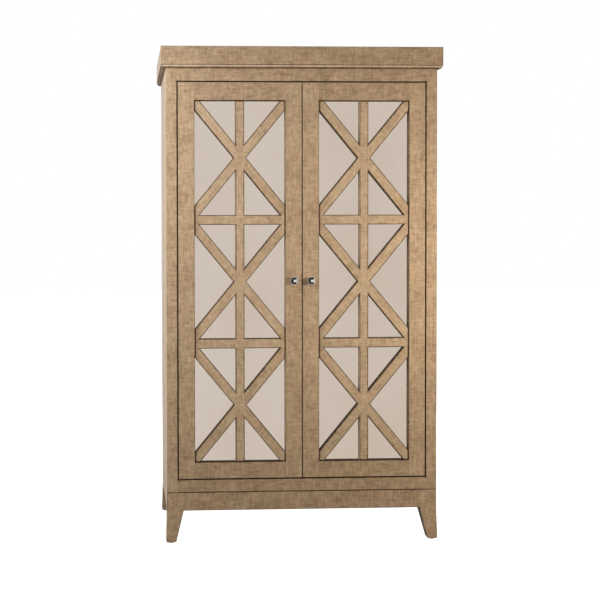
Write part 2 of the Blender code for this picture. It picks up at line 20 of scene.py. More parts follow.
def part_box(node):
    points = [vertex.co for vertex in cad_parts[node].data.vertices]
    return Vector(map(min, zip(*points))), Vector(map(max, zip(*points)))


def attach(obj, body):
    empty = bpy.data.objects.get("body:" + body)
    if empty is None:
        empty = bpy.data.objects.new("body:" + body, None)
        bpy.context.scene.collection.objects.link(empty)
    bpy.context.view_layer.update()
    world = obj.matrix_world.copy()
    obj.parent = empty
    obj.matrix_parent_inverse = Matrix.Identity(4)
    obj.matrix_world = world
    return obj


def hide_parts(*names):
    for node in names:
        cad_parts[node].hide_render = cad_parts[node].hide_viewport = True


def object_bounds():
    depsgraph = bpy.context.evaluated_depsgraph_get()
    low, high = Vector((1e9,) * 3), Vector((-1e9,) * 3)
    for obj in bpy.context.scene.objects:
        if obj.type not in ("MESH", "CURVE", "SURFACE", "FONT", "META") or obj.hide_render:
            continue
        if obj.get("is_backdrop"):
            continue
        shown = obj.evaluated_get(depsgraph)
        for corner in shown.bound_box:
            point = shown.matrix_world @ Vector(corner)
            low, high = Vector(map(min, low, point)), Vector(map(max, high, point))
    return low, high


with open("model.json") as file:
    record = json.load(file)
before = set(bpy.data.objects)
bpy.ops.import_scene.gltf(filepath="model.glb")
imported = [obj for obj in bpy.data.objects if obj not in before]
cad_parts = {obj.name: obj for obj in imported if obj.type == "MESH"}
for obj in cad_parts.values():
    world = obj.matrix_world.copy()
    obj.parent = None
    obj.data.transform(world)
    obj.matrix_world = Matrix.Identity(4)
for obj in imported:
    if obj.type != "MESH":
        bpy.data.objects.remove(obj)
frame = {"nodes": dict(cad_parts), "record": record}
nodes = frame["nodes"]
body_of = {node: body for body, held in frame["record"]["behaviour"]["bodies"].items() for node in held}
cad_low, cad_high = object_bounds()

MM = 0.001
X, Y, Z = 0, 1, 2
SIDES = (("left", -1), ("right", 1))
cad_size = (cad_high - cad_low) / MM
print(f"{len(nodes)} solids, {cad_size.x:.0f} mm wide, {cad_size.z:.0f} mm high")

# %% [markdown]
# ## The camera
#
# A tall cupboard is seen from a little left of its middle, at chest height, with a lens long enough to
# keep its sides nearly upright. Tilting the camera would make the sides lean, so most of the framing
# comes from sliding the lens (shift), as with a view camera, and only a small turn is left.

# %% Camera
camera_data = bpy.data.cameras.new("camera")
camera_data.lens = 71.00
camera_data.shift_x = 0.19
camera_data.shift_y = -0.065
camera = bpy.data.objects.new("camera", camera_data)
bpy.context.scene.collection.objects.link(camera)
camera.location = (-0.723, -5.072, 1.284)
TURN = {"pitch": -1.388, "roll": 0.177, "yaw": -2.855}
camera.rotation_euler = (
    math.radians(90 + TURN["pitch"]),
    math.radians(TURN["roll"]),
    math.radians(TURN["yaw"]),
)
bpy.context.scene.camera = camera
bpy.context.scene.view_settings.view_transform = "Standard"
print(f"lens {camera_data.lens} mm, camera {-camera.location.y:.2f} m in front")

# %% [markdown]
# ## Helpers for nodes
#
# Every finish below is a small graph of shader nodes. Wiring nodes by hand takes many lines, so one
# function makes a node, sets its options and feeds its inputs, with plain values or with the outputs
# of other nodes. The finishes then read like recipes.

# %% Node helpers
def put(tree, kind, feeds, **options):
    """A shader node; feeds gives its inputs a value each, or another node's output."""
    made = tree.nodes.new(f"ShaderNode{kind}")
    for option, value in options.items():
        setattr(made, option, value)
    for place, value in feeds.items():
        feed(tree, made.inputs[place], value)
    return made


def feed(tree, socket, value):
    if isinstance(value, bpy.types.NodeSocket):
        tree.links.new(value, socket)
    else:
        socket.default_value = value


def maths(tree, operation, one, two):
    return put(tree, "Math", {0: one, 1: two}, operation=operation).outputs[0]


def blend_colours(tree, factor, one, two):
    """From colour one to colour two; the Mix node keeps its colour inputs at places 6 and 7."""
    return put(tree, "Mix", {0: factor, 6: one, 7: two}, data_type="RGBA").outputs[2]


def between(tree, value, from_low, from_high, to_low, to_high):
    feeds = {0: value, 1: from_low, 2: from_high, 3: to_low, 4: to_high}
    return put(tree, "MapRange", feeds).outputs[0]


def noise(tree, where, stretch, detail=2.0, offset=(0, 0, 0)):
    """Noise whose patches have the sizes 1/stretch, in metres."""
    spot = put(tree, "Mapping", {"Vector": where, "Scale": stretch, "Location": offset}).outputs[0]
    return put(tree, "TexNoise", {"Vector": spot, "Scale": 1.0, "Detail": detail}).outputs[0]


def new_finish(name):
    made = bpy.data.materials.new(name)
    made.use_nodes = True
    return made, made.node_tree, made.node_tree.nodes["Principled BSDF"]


# %% [markdown]
# ## Light and floor
#
# The cupboard stands in a white studio. A wide light washes its left side, and a weak one close to
# its left shoulder brightens that corner. On the right, two small lights stand at knob height in line
# with the knobs: the far one is warm and fills, the near one makes a pool of light and gives the
# knobs crisp shadows. Three more lights stand behind the front's plane and only reach the right side,
# the back and the top. The surround adds little light, which keeps the gaps round the doors dark, and
# the floor is pale. The surround is white to the camera, weaker as a light, and to polished metal it is
# a bright band with a dark curtain on the left in front, and dark places straight above and below:
# without something dark to mirror, a chrome knob looks like white plastic.

# %% Surround
DIM = 0.03
world = bpy.data.worlds.new("surround")
bpy.context.scene.world = world
world.use_nodes = True
sky = world.node_tree
direction = put(sky, "TexCoord", {}).outputs["Generated"]
toward = put(sky, "SeparateXYZ", {0: direction}).outputs
below_ceiling = between(sky, toward[Z], 0.90, 0.96, 1.0, DIM)
above_floor = between(sky, toward[Z], -0.96, -0.90, DIM, 1.0)
right_of_curtain = between(sky, toward[X], -0.85, -0.65, DIM, 1.0)
behind_curtain = between(sky, toward[Y], 0.0, 0.3, DIM, 1.0)
past_curtain = maths(sky, "MAXIMUM", right_of_curtain, behind_curtain)
band = maths(sky, "MINIMUM", maths(sky, "MINIMUM", below_ceiling, above_floor), past_curtain)
mirrored = put(sky, "CombineColor", {0: band, 1: band, 2: band}).outputs[0]
rays = put(sky, "LightPath", {})
AMBIENT = (0.08, 0.077, 0.070, 1)
lighting = blend_colours(sky, rays.outputs["Is Diffuse Ray"], mirrored, AMBIENT)
seen = blend_colours(sky, rays.outputs["Is Camera Ray"], lighting, (1, 1, 1, 1))
feed(sky, sky.nodes["Background"].inputs["Color"], seen)
print("surround: white to the camera, a band in reflections")


# %% Lights
def soft_light(name, place, aim, size, watts, colour):
    """An area light that nothing mirrors: the surround is what polished metal and glass show."""
    lamp = bpy.data.lights.new(name, "AREA")
    lamp.shape = "RECTANGLE"
    lamp.size, lamp.size_y = size
    lamp.energy = watts
    lamp.color = colour
    made = bpy.data.objects.new(name, lamp)
    bpy.context.scene.collection.objects.link(made)
    made.location = place
    made.rotation_euler = (Vector(aim) - Vector(place)).to_track_quat("-Z", "Y").to_euler()
    made.visible_glossy = False


soft_light("wash_left", (-2.6, -0.9, 1.6), (-0.5, 0.0, 1.3), (0.8, 1.0), 51, (1.0, 0.975, 0.90))
soft_light("shoulder_left", (-1.3, -1.1, 1.92), (-0.47, -0.2, 1.85), (0.5, 0.5), 10.3, (0.93, 0.94, 1.0))
soft_light("pool_right", (0.95, -1.2, 1.22), (0.48, -0.285, 1.2), (0.2, 0.2), 7.3, (1.0, 0.93, 0.84))
soft_light("fill_right", (2.0, -2.1, 1.1), (0.2, -0.2, 1.1), (0.22, 0.22), 11.5, (1.0, 0.80, 0.52))
soft_light("wash_right", (2.6, 1.2, 1.5), (0.5, 0.2, 1.1), (1.0, 1.2), 45, (1.0, 0.97, 0.92))
soft_light("behind", (0.4, 3.4, 1.7), (0.0, 0.3, 1.0), (1.6, 1.2), 95, (1.0, 0.97, 0.92))
soft_light("overhead", (0.1, 0.9, 4.2), (0.0, 0.2, 2.0), (1.0, 1.0), 60, (1.0, 0.97, 0.92))
print("lights:", len(bpy.data.lights))

# %% Floor
floor_finish, tree, shader = new_finish("pale_floor")
shader.inputs["Base Color"].default_value = (0.42, 0.385, 0.33, 1)
shader.inputs["Roughness"].default_value = 0.9
to_camera = put(tree, "LightPath", {}).outputs["Is Camera Ray"]
feed(tree, shader.inputs["Emission Strength"], to_camera)
shader.inputs["Emission Color"].default_value = (1, 1, 1, 1)

ground = bmesh.new()
bmesh.ops.create_grid(ground, x_segments=1, y_segments=1, size=20)
bmesh.ops.translate(ground, verts=ground.verts, vec=(0, 0, -0.2 * MM))
floor_mesh = bpy.data.meshes.new("floor")
ground.to_mesh(floor_mesh)
ground.free()
floor_mesh.materials.append(floor_finish)
floor = bpy.data.objects.new("floor", floor_mesh)
floor.visible_glossy = False
bpy.context.scene.collection.objects.link(floor)
floor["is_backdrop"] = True
print("floor laid")

# %% [markdown]
# ## The woven wrap
#
# Raffia cloth has flat threads a few millimetres wide, woven one over, one under, and no thread is
# even: each swells, thins and changes tone along its length. A scan of the cloth would repeat, so the
# pattern is made from waves and noise instead. The cloth is glued on with its threads square
# to each board, so the finish reads a UV map called cloth, laid in metres: U runs along the board and
# V across it. One face attribute darkens a face above 0, with the dark glaze and with painted shade in
# the gaps, recesses and sides turned away from the lamps, and below 0 paints it paler, a painted
# highlight. Another paints whole boards lighter or darker for how the light falls on them: the level
# boards a little darker than the upright ones, and the lattice the palest. The loose fibres give the
# cloth a pale sheen when it is seen from the side. Under a heavy glaze they lie flat, so faces
# darkened heavily, by glaze and by painted shade, get a second version of the finish with no sheen.
# The cloth is also painted a little darker towards the floor, over the lowest 85 centimetres, a
# painted shade where the light falls off.

# %% Woven wrap
THREAD = 3.2 * MM


def wander(tree, cloth):
    """The cloth's coordinates with the threads led slightly astray."""
    drift = noise(tree, cloth, (22, 22, 1), detail=1.0)
    amount = between(tree, drift, 0.0, 1.0, -1.5 * THREAD, 1.5 * THREAD)
    shift = put(tree, "CombineXYZ", {0: amount, 1: amount}).outputs[0]
    return put(tree, "VectorMath", {0: cloth, 1: shift}, operation="ADD").outputs[0]


def woven_relief(tree, cloth):
    """Over-and-under threads: in every other cell the thread along U lies on top, else the one along V."""
    # A Wave texture of scale 1 repeats every tenth of a full turn's length, pi / 10.
    scale = math.pi / 10 / THREAD
    waves = [
        put(tree, "TexWave", {"Vector": cloth, "Scale": scale}, bands_direction=bands).outputs[1]
        for bands in ("X", "Y")
    ]
    cells = put(tree, "TexChecker", {"Vector": cloth, "Scale": 1 / THREAD}).outputs[1]
    return blend_colours(tree, cells, *waves)


def woven_wrap(name, sheen, specular):
    finish, tree, shader = new_finish(name)
    straight = put(tree, "UVMap", {}, uv_map="cloth").outputs[0]
    cloth = wander(tree, straight)
    relief = woven_relief(tree, cloth)

    # Each set of threads: the sizes of its patches along U and V, and how strongly it shows.
    across_fine = noise(tree, cloth, (260, 40, 1), detail=1.0)
    along_fine = noise(tree, cloth, (40, 260, 1), detail=1.0, offset=(3, 7, 0))
    across_slubs = noise(tree, cloth, (110, 20, 1), detail=3.0, offset=(11, 5, 0))
    along_slubs = noise(tree, cloth, (20, 105, 1), detail=3.0, offset=(17, 9, 0))
    mottle = noise(tree, straight, (48, 48, 1), detail=2.0, offset=(41, 19, 0))
    wear = noise(tree, straight, (10, 13, 1), detail=4.0, offset=(23, 2, 0))
    tone = 0.0
    for pattern, strength in (
        (across_fine, 0.30),
        (along_fine, 0.30),
        (across_slubs, 0.42),
        (along_slubs, 0.46),
        (mottle, 0.30),
        (wear, 0.42),
        (relief, 0.08),
    ):
        swing = maths(tree, "MULTIPLY", maths(tree, "SUBTRACT", pattern, 0.5), strength)
        tone = maths(tree, "ADD", tone, swing)
    # Painted light: each board's tone is shifted by how the light falls on it, darker for level boards,
    # paler for the lattice.
    painted_board_light = put(tree, "Attribute", {}, attribute_name="painted_board_light").outputs["Fac"]
    tone = maths(tree, "ADD", maths(tree, "ADD", tone, painted_board_light), 0.5)

    ramp = put(tree, "ValToRGB", {0: tone})
    stops = ramp.color_ramp.elements
    stops[0].position, stops[0].color = 0.12, (0.190, 0.122, 0.068, 1)
    stops[1].position, stops[1].color = 0.95, (0.790, 0.640, 0.460, 1)
    for position, colour in ((0.38, (0.390, 0.272, 0.170, 1)), (0.58, (0.545, 0.398, 0.262, 1))):
        stops.new(position).color = colour

    # Patches a few centimetres wide lean pink or olive.
    patches = noise(tree, straight, (17, 21, 1), detail=2.0, offset=(31, 13, 0))
    lean = between(tree, patches, 0.35, 0.65, 0.0, 1.0)
    tint = blend_colours(tree, lean, (1.0, 0.945, 0.915, 1), (0.965, 0.975, 0.93, 1))
    coloured = put(
        tree, "Mix", {0: 1.0, 6: ramp.outputs[0], 7: tint}, data_type="RGBA", blend_type="MULTIPLY"
    ).outputs[2]

    # Glaze and painted light: the face attribute holds the dark glaze and painted shade (above 0) and a
    # painted highlight (below 0).
    glaze_and_painted_light = put(tree, "Attribute", {}, attribute_name="glaze_and_painted_light").outputs["Fac"]
    held = between(tree, across_slubs, 0.35, 0.65, 1.10, 0.88)
    height = put(tree, "SeparateXYZ", {0: put(tree, "TexCoord", {}).outputs["Object"]}).outputs[2]
    # Painted shade: the cloth is darkened over the lowest 85 cm, where the light falls off; brushed adds it
    # to the glaze and painted shade.
    painted_floor_shade = between(tree, height, 0.0, 0.85, 0.11, 0.0)
    brushed = maths(tree, "ADD", glaze_and_painted_light, painted_floor_shade)
    dark = put(tree, "Math", {0: brushed, 1: held}, operation="MULTIPLY", use_clamp=True).outputs[0]
    # Painted highlight: a value below 0 paints the face paler.
    painted_highlight = put(tree, "Math", {0: glaze_and_painted_light, 1: -1.0}, operation="MULTIPLY", use_clamp=True).outputs[0]
    glazed_and_shaded = blend_colours(tree, dark, coloured, (0.036, 0.018, 0.007, 1))
    with_painted_highlight = blend_colours(tree, painted_highlight, glazed_and_shaded, (0.86, 0.74, 0.58, 1))
    feed(tree, shader.inputs["Base Color"], with_painted_highlight)

    feed(tree, shader.inputs["Roughness"], between(tree, tone, 0.2, 0.8, 0.72, 0.52))
    thickness = maths(tree, "ADD", relief, maths(tree, "MULTIPLY", across_slubs, 1.5))
    bump = put(tree, "Bump", {"Strength": 0.45, "Distance": 0.5 * MM, "Height": thickness})
    feed(tree, shader.inputs["Normal"], bump.outputs[0])
    shader.inputs["Sheen Weight"].default_value = sheen
    shader.inputs["Specular IOR Level"].default_value = specular
    shader.inputs["Sheen Roughness"].default_value = 0.5
    return finish


WOVEN = woven_wrap("woven_wrap", sheen=0.55, specular=0.5)
# The second version, without sheen, is for faces darkened heavily by glaze and by painted shade.
GLAZE_AND_SHADE_WRAP = woven_wrap("woven_wrap_glaze_and_shade", sheen=0.0, specular=0.15)
HEAVY_GLAZE_AND_SHADE = 0.55
print("woven wrap made, threads", THREAD / MM, "mm apart")

# %% [markdown]
# ## The other finishes
#
# Inside, the boards show a plain pale veneer: grain is noise stretched a long way in one direction.
# The mirrors are slightly warm, old-looking glass: metal that is nearly smooth, with faint clouds.
# The metals differ mostly in colour and in how finely they are polished, so one recipe makes them all,
# from a colour and the range that their roughness wanders in.

# %% Veneer, mirror, metals and plastic
def veneer(name, grain):
    """Straight-grained veneer; grain gives the patches per metre along X, Y and Z."""
    finish, tree, shader = new_finish(name)
    place = put(tree, "TexCoord", {}).outputs["Object"]
    figure = noise(tree, place, grain, detail=4.0)
    pores = noise(tree, place, [scale * 5 for scale in grain], detail=2.0, offset=(4, 1, 6))
    tone = maths(tree, "ADD", maths(tree, "MULTIPLY", figure, 0.7), maths(tree, "MULTIPLY", pores, 0.3))
    lean = between(tree, tone, 0.32, 0.68, 0.0, 1.0)
    colour = blend_colours(tree, lean, (0.300, 0.205, 0.125, 1), (0.560, 0.430, 0.295, 1))
    feed(tree, shader.inputs["Base Color"], colour)
    feed(tree, shader.inputs["Roughness"], between(tree, tone, 0.3, 0.7, 0.62, 0.45))
    bump = put(tree, "Bump", {"Strength": 0.2, "Distance": 0.2 * MM, "Height": pores})
    feed(tree, shader.inputs["Normal"], bump.outputs[0])
    return finish


def metal(name, colour, smooth, rough, brushed=(60, 60, 60), streak=0.06):
    finish, tree, shader = new_finish(name)
    place = put(tree, "TexCoord", {}).outputs["Object"]
    marks = noise(tree, place, brushed, detail=3.0)
    lean = between(tree, marks, 0.3, 0.7, 0.0, 1.0)
    lighter = (*[min(1.0, part * (1 + streak)) for part in colour], 1)
    darker = (*[part * (1 - streak) for part in colour], 1)
    feed(tree, shader.inputs["Base Color"], blend_colours(tree, lean, darker, lighter))
    feed(tree, shader.inputs["Roughness"], between(tree, marks, 0.3, 0.7, smooth, rough))
    shader.inputs["Metallic"].default_value = 1.0
    return finish


def clouded_mirror(name, grey, beige):
    """Greyer at the top left and more beige at the bottom right, a painted reflection of the studio, with
    faint clouds in the silvering.
    """
    finish, tree, shader = new_finish(name)
    place = put(tree, "TexCoord", {}).outputs["Object"]
    apart = put(tree, "SeparateXYZ", {0: place}).outputs
    # Painted reflection: the tint shifts from grey at the top left to beige at the bottom right.
    downward = between(tree, apart[Z], 0.3, 1.8, 0.25, 0.0)
    rightward = between(tree, apart[X], -0.45, 0.45, 0.0, 0.35)
    clouds = between(tree, noise(tree, place, (3, 3, 2), detail=3.0), 0.3, 0.7, -0.15, 0.35)
    lean = maths(tree, "ADD", maths(tree, "ADD", downward, rightward), clouds)
    feed(tree, shader.inputs["Base Color"], blend_colours(tree, lean, (*grey, 1), (*beige, 1)))
    marks = noise(tree, place, (8, 8, 5), detail=3.0, offset=(2, 6, 1))
    feed(tree, shader.inputs["Roughness"], between(tree, marks, 0.3, 0.7, 0.03, 0.09))
    shader.inputs["Metallic"].default_value = 1.0
    return finish


def plastic(name, colour):
    finish, tree, shader = new_finish(name)
    place = put(tree, "TexCoord", {}).outputs["Object"]
    grain = noise(tree, place, (900, 900, 900), detail=2.0)
    feed(tree, shader.inputs["Base Color"], blend_colours(tree, grain, (*colour, 1), (0.05, 0.05, 0.05, 1)))
    feed(tree, shader.inputs["Roughness"], between(tree, grain, 0.3, 0.7, 0.42, 0.58))
    bump = put(tree, "Bump", {"Strength": 0.3, "Distance": 0.1 * MM, "Height": grain})
    feed(tree, shader.inputs["Normal"], bump.outputs[0])
    return finish


INSIDE_LEVEL = veneer("inside_veneer_level", (1.2, 60, 60))
INSIDE_UPRIGHT = veneer("inside_veneer_upright", (60, 60, 1.2))
MIRROR = clouded_mirror("mirror", (0.640, 0.560, 0.495), (0.545, 0.445, 0.355))
NICKEL = metal("polished_nickel", (0.74, 0.71, 0.66), 0.06, 0.14, brushed=(300, 300, 300))
BRONZE = metal("dark_bronze", (0.115, 0.078, 0.050), 0.34, 0.52, brushed=(400, 400, 400), streak=0.3)
STEEL = metal("brushed_steel", (0.56, 0.555, 0.54), 0.24, 0.38, brushed=(8, 900, 900))
BLACK = plastic("black_plastic", (0.012, 0.012, 0.012))
print("finishes:", len(bpy.data.materials))

# %% [markdown]
# ## Helpers for shapes
#
# Each solid arrives as loose triangles. A copy is welded and its flat triangles are dissolved, which
# gives back clean faces. A sharp edge never looks real, because it has no width to catch the light, so
# the outer edges get a small bevel. Edges that touch a neighbour stay sharp, or every joint would
# become a groove. Then the cloth is laid: each face gets UVs in metres along and across the board.

# %% Shape helpers
SAME_POINT = 0.001 * MM
FLAT = math.radians(0.5)
# Painted light by the way a board runs: level boards darker, upright ones a little lighter, the lattice
# palest.
BOARD_PAINTED_LIGHT = {X: -0.045, Y: 0.0, Z: 0.015}
LATTICE_PAINTED_LIGHT = 0.08


def new_shape():
    """An empty mesh with its layers; one added later would lose the faces kept in lists."""
    shape = bmesh.new()
    shape.faces.layers.float.new("glaze_and_painted_light")
    shape.faces.layers.float.new("painted_board_light")
    shape.loops.layers.uv.new("cloth")
    return shape


def solid_copy(node):
    shape = new_shape()
    shape.from_mesh(nodes[node].data)
    bmesh.ops.remove_doubles(shape, verts=shape.verts, dist=SAME_POINT)
    bmesh.ops.dissolve_limit(shape, angle_limit=FLAT, verts=shape.verts, edges=shape.edges)
    return shape


def slice_at(shape, axis, value):
    """A ring of edges where a plane meets the shape, so that an edge can be softened in part."""
    point, normal = Vector((0, 0, 0)), Vector((0, 0, 0))
    point[axis], normal[axis] = value, 1
    everything = shape.verts[:] + shape.edges[:] + shape.faces[:]
    bmesh.ops.bisect_plane(shape, geom=everything, dist=SAME_POINT, plane_co=point, plane_no=normal)


def arrises(shape, where, sharper=math.radians(20)):
    """The convex edges whose middles pass the test."""
    return [
        edge
        for edge in shape.edges
        if edge.is_convex
        and edge.calc_face_angle(0) > sharper
        and where((edge.verts[0].co + edge.verts[1].co) / 2)
    ]


def soften(shape, edges, width, segments=2):
    return bmesh.ops.bevel(
        shape,
        geom=edges,
        offset=width,
        offset_type="OFFSET",
        segments=segments,
        profile=0.5,
        affect="EDGES",
        clamp_overlap=True,
        material=-1,
    )["faces"]


def lay_cloth(shape, run, start=(0, 0)):
    """UVs in metres: U along the axis that the board runs in, V across it."""
    cloth = shape.loops.layers.uv["cloth"]
    painted_board_light = shape.faces.layers.float["painted_board_light"]
    for face in shape.faces:
        face[painted_board_light] = BOARD_PAINTED_LIGHT[run]
        facing = max((X, Y, Z), key=lambda axis: abs(face.normal[axis]))
        ways = [axis for axis in (run, X, Y, Z) if axis != facing]
        along, across = ways[0], next(axis for axis in ways[1:] if axis != ways[0])
        for corner in face.loops:
            place = corner.vert.co
            corner[cloth].uv = (place[along] + start[0], place[across] + start[1])


def add_piece(name, shape, finishes, body, replaced=(), smooth=None):
    """A finished object at the origin that rides on a body and stands for the solids it replaces."""
    mesh = bpy.data.meshes.new(name)
    shape.to_mesh(mesh)
    shape.free()
    for finish in finishes:
        mesh.materials.append(finish)
    if smooth:
        mesh.shade_smooth()
        mesh.set_sharp_from_angle(angle=math.radians(smooth))
    piece = bpy.data.objects.new(name, mesh)
    bpy.context.scene.collection.objects.link(piece)
    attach(piece, body)
    if replaced:
        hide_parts(*replaced)
    return piece


# %% Wrapped boards
EASE = 1.3 * MM
GAP_EASE = 2.0 * MM
CORNER_ROUND = 4.0 * MM
GLAZE_AND_SHADE_FACE, INSIDE_FACE = 1, 2
CLOTH_STEP = (0.37, 0.23)
wrapped = []


def bare(normal, middle):
    return 0.0


def half_glazed(normal, middle):
    return 0.45


def wrap_board(
    node, run, where, plain=bare, rim=half_glazed, cuts=(), width=EASE, inside=None, corner=None
):
    """A board in its cloth: where picks edges to soften, plain and rim give faces and edges glaze and
    painted shade.
    """
    shape = solid_copy(node)
    for axis, value in cuts:
        slice_at(shape, axis, value)
    rounded = set(soften(shape, arrises(shape, where), width))
    if corner:
        rounded |= set(soften(shape, arrises(shape, corner), CORNER_ROUND, 3))
    glaze_and_painted_light = shape.faces.layers.float["glaze_and_painted_light"]
    for face in shape.faces:
        middle = face.calc_center_median()
        if face in rounded:
            face[glaze_and_painted_light] = rim(face.normal, middle)
            continue
        face[glaze_and_painted_light] = plain(face.normal, middle)
        if inside and inside(face.normal, middle):
            face.material_index = INSIDE_FACE
    finish_wrap(node, shape, run, [INSIDE_UPRIGHT] if inside else [])


def finish_wrap(node, shape, run, more_finishes=()):
    """Each board's cloth is cut from a different place, so no two boards show the same pattern."""
    lay_cloth(shape, run, start=[len(wrapped) * step for step in CLOTH_STEP])
    wrapped.append(node)
    pick_glaze_and_shade(shape)
    finishes = [WOVEN, GLAZE_AND_SHADE_WRAP, *more_finishes]
    add_piece(f"{node}_wrapped", shape, finishes, body_of[node], [node])


# Faces darkened heavily by glaze and by painted shade get the finish without sheen.
def pick_glaze_and_shade(shape):
    glaze_and_painted_light = shape.faces.layers.float["glaze_and_painted_light"]
    for face in shape.faces:
        if face[glaze_and_painted_light] > HEAVY_GLAZE_AND_SHADE:
            face.material_index = GLAZE_AND_SHADE_FACE


# %% [markdown]
# ## The case
#
# The face frame is what the doors close into: two stiles and two rails. Under the cloth their joints
# don't show, so only the outer corners and the edges of the opening are softened, and the faces that
# look into the gap round the doors are dark with glaze and painted shade. The right outer corner is
# rounded and painted dark, a painted shade where the edge turns from the light. The stiles are cut
# across at the heights of the rails, so that their inner edges stay sharp where a rail meets them.

# %% Face frame and sides
front_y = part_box("face_rail_top")[0].y
opening_x, case_x = (corner.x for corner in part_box("face_stile_right"))
opening_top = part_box("face_rail_top")[0].z
opening_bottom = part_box("face_rail_bottom")[1].z
base_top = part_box("face_rail_bottom")[0].z
leaf_end_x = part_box("right_frame_leaf_top")[0].x
NEAR = 0.5 * MM
STILE_FOOT = 15 * MM  # how far back the foot of a stile is softened
HINGE_CLEAR = 40 * MM  # past the end of a hinge leaf, where edges stay sharp
# Glaze and painted shade on the softened edges beside the gaps round the doors, widening the gaps' dark
# lines.
GAP_GLAZE_AND_SHADE = 0.85


def near(one, two):
    return abs(one - two) < NEAR


def at_front(middle):
    return near(middle.y, front_y)


# Painted shade on the rounded outer corners: the right one is painted dark where its edge turns from the
# light.
CORNER_PAINTED_SHADE = {"left": 0.05, "right": 0.65}
for word, side in SIDES:

    def stile_edge(middle, side=side):
        in_opening = at_front(middle) and near(middle.x * side, opening_x)
        beside_doors = opening_bottom < middle.z < opening_top
        at_foot = near(middle.z, base_top) and middle.y < front_y + STILE_FOOT
        return (in_opening and beside_doors) or (at_front(middle) and at_foot)

    def stile_corner(middle, side=side):
        return at_front(middle) and near(middle.x * side, case_x)

    # Glaze and painted shade on the faces that look into the gap round the doors.
    def stile_glaze_and_shade(normal, middle, side=side):
        return 1.0 if normal.x * side < -0.5 else 0.0

    def stile_rim(normal, middle, side=side, corner=CORNER_PAINTED_SHADE[word]):
        return corner if normal.x * side > 0.2 else GAP_GLAZE_AND_SHADE

    heights = ((Z, opening_top), (Z, opening_bottom))
    wrap_board(
        f"face_stile_{word}", Z, stile_edge, stile_glaze_and_shade, stile_rim, heights, GAP_EASE, corner=stile_corner
    )

    def side_edge(middle):
        return near(middle.z, base_top) or near(middle.y, cad_high.y)

    def faces_inside(normal, middle, side=side):
        return normal.x * side < -0.5 and middle.z > 0

    wrap_board(f"{word}_side_panel", Z, side_edge, inside=faces_inside)


def rail_edge(middle):
    clear_of_hinges = abs(middle.x) < leaf_end_x + HINGE_CLEAR
    beside_doors = near(middle.z, opening_top) or near(middle.z, opening_bottom)
    return at_front(middle) and clear_of_hinges and (beside_doors or near(middle.z, base_top))


# Glaze and painted shade on the faces that look into the gap round the doors.
def rail_glaze_and_shade(normal, middle):
    toward_doors = normal.z if middle.z < cad_high.z / 2 else -normal.z
    return 1.0 if toward_doors > 0.5 else 0.0


# Glaze and painted shade on every softened rail edge; on the aprons it also darkens the seam and the lower
# edge.
def rail_rim(normal, middle):
    return GAP_GLAZE_AND_SHADE


wrap_board("face_rail_top", X, rail_edge, rail_glaze_and_shade, rail_rim, width=GAP_EASE)
wrap_board("face_rail_bottom", X, rail_edge, rail_glaze_and_shade, rail_rim, width=GAP_EASE)
print("face frame and sides wrapped")

# %% [markdown]
# ## The cap
#
# A flat fascia, a thin groove (quirk) and a small rounded moulding run round three sides, mitred at
# the corners. The solid has a plain chamfer where the real moulding swells, so its two long edges get
# a wide bevel in several steps, which turns the chamfer into a soft swelling. In front the moulding is
# painted paler, a painted highlight where it swells toward the light. The top edges are dark with
# glaze, the groove with glaze and painted shade, and the underside and the lowest strip of the
# moulding are painted dark as the shade under the cap. The side mouldings are painted dark, a painted
# shade.

# %% Cap
cap_low, cap_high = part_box("cap_front")
FASCIA = 75 * MM
SIDE_MOULDING = 18 * MM  # the outer part of a cap side that shows
CAP_TOP_EASE = 0.6 * MM
SWELL = 3.2 * MM
quirk_top = cap_high.z - FASCIA
line_top = cap_low.z + 4.8 * MM


def wrap_cap(node, run, moulding_painted_light):
    shape = solid_copy(node)
    slice_at(shape, Z, line_top)
    long_edges = [
        edge
        for edge in arrises(shape, lambda middle: True)
        if abs((edge.verts[0].co - edge.verts[1].co).normalized()[run]) > 0.9
    ]

    def outside(edge):
        middle = (edge.verts[0].co + edge.verts[1].co) / 2
        return middle.y < front_y - MM or abs(middle.x) > cap_high.x - SIDE_MOULDING

    outer = [edge for edge in long_edges if outside(edge)]
    low_edges = [edge for edge in outer if edge.verts[0].co.z < cap_low.z + MM]
    top_edges = [edge for edge in outer if edge.verts[0].co.z > quirk_top - NEAR]
    swelling = set(soften(shape, low_edges, SWELL, 5))
    rounded = set(soften(shape, [edge for edge in top_edges if edge.is_valid], EASE))
    glaze_and_painted_light = shape.faces.layers.float["glaze_and_painted_light"]
    for face in shape.faces:
        middle = face.calc_center_median()
        in_quirk = quirk_top - 2 * MM < middle.z < quirk_top + NEAR
        on_moulding = cap_low.z + NEAR < middle.z < quirk_top - 2 * MM
        # Painted light: the top edges are dark with glaze, the groove with glaze and painted shade, the
        # underside and the lowest strip are painted dark as the shade under the cap, and the moulding gets
        # the painted value passed in.
        if face in rounded:
            face[glaze_and_painted_light] = 0.7
        elif in_quirk or face.normal.z < -0.95 or middle.z < line_top:
            face[glaze_and_painted_light] = 0.75
        elif on_moulding or face in swelling:
            face[glaze_and_painted_light] = moulding_painted_light
    finish_wrap(node, shape, run)


# The front moulding is painted paler, a painted highlight; the side mouldings are painted dark, a painted
# shade.
wrap_cap("cap_front", X, -0.25)
wrap_cap("cap_left", Y, 0.95)
wrap_cap("cap_right", Y, 0.95)
wrap_board("cap_top_board", X, lambda middle: near(middle.z, cad_high.z), width=CAP_TOP_EASE)
print("cap wrapped")

# %% [markdown]
# ## The base
#
# Four square legs taper below an apron and splay out a little. Leg and apron are flush under one
# cloth, so the joint between them is left sharp, and the seam where the case sits on the base is a
# shallow dark line. Each leg runs its cloth upright, each apron sideways.

# %% Legs, aprons and glides
apron_low, apron_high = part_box("base_rail_front")
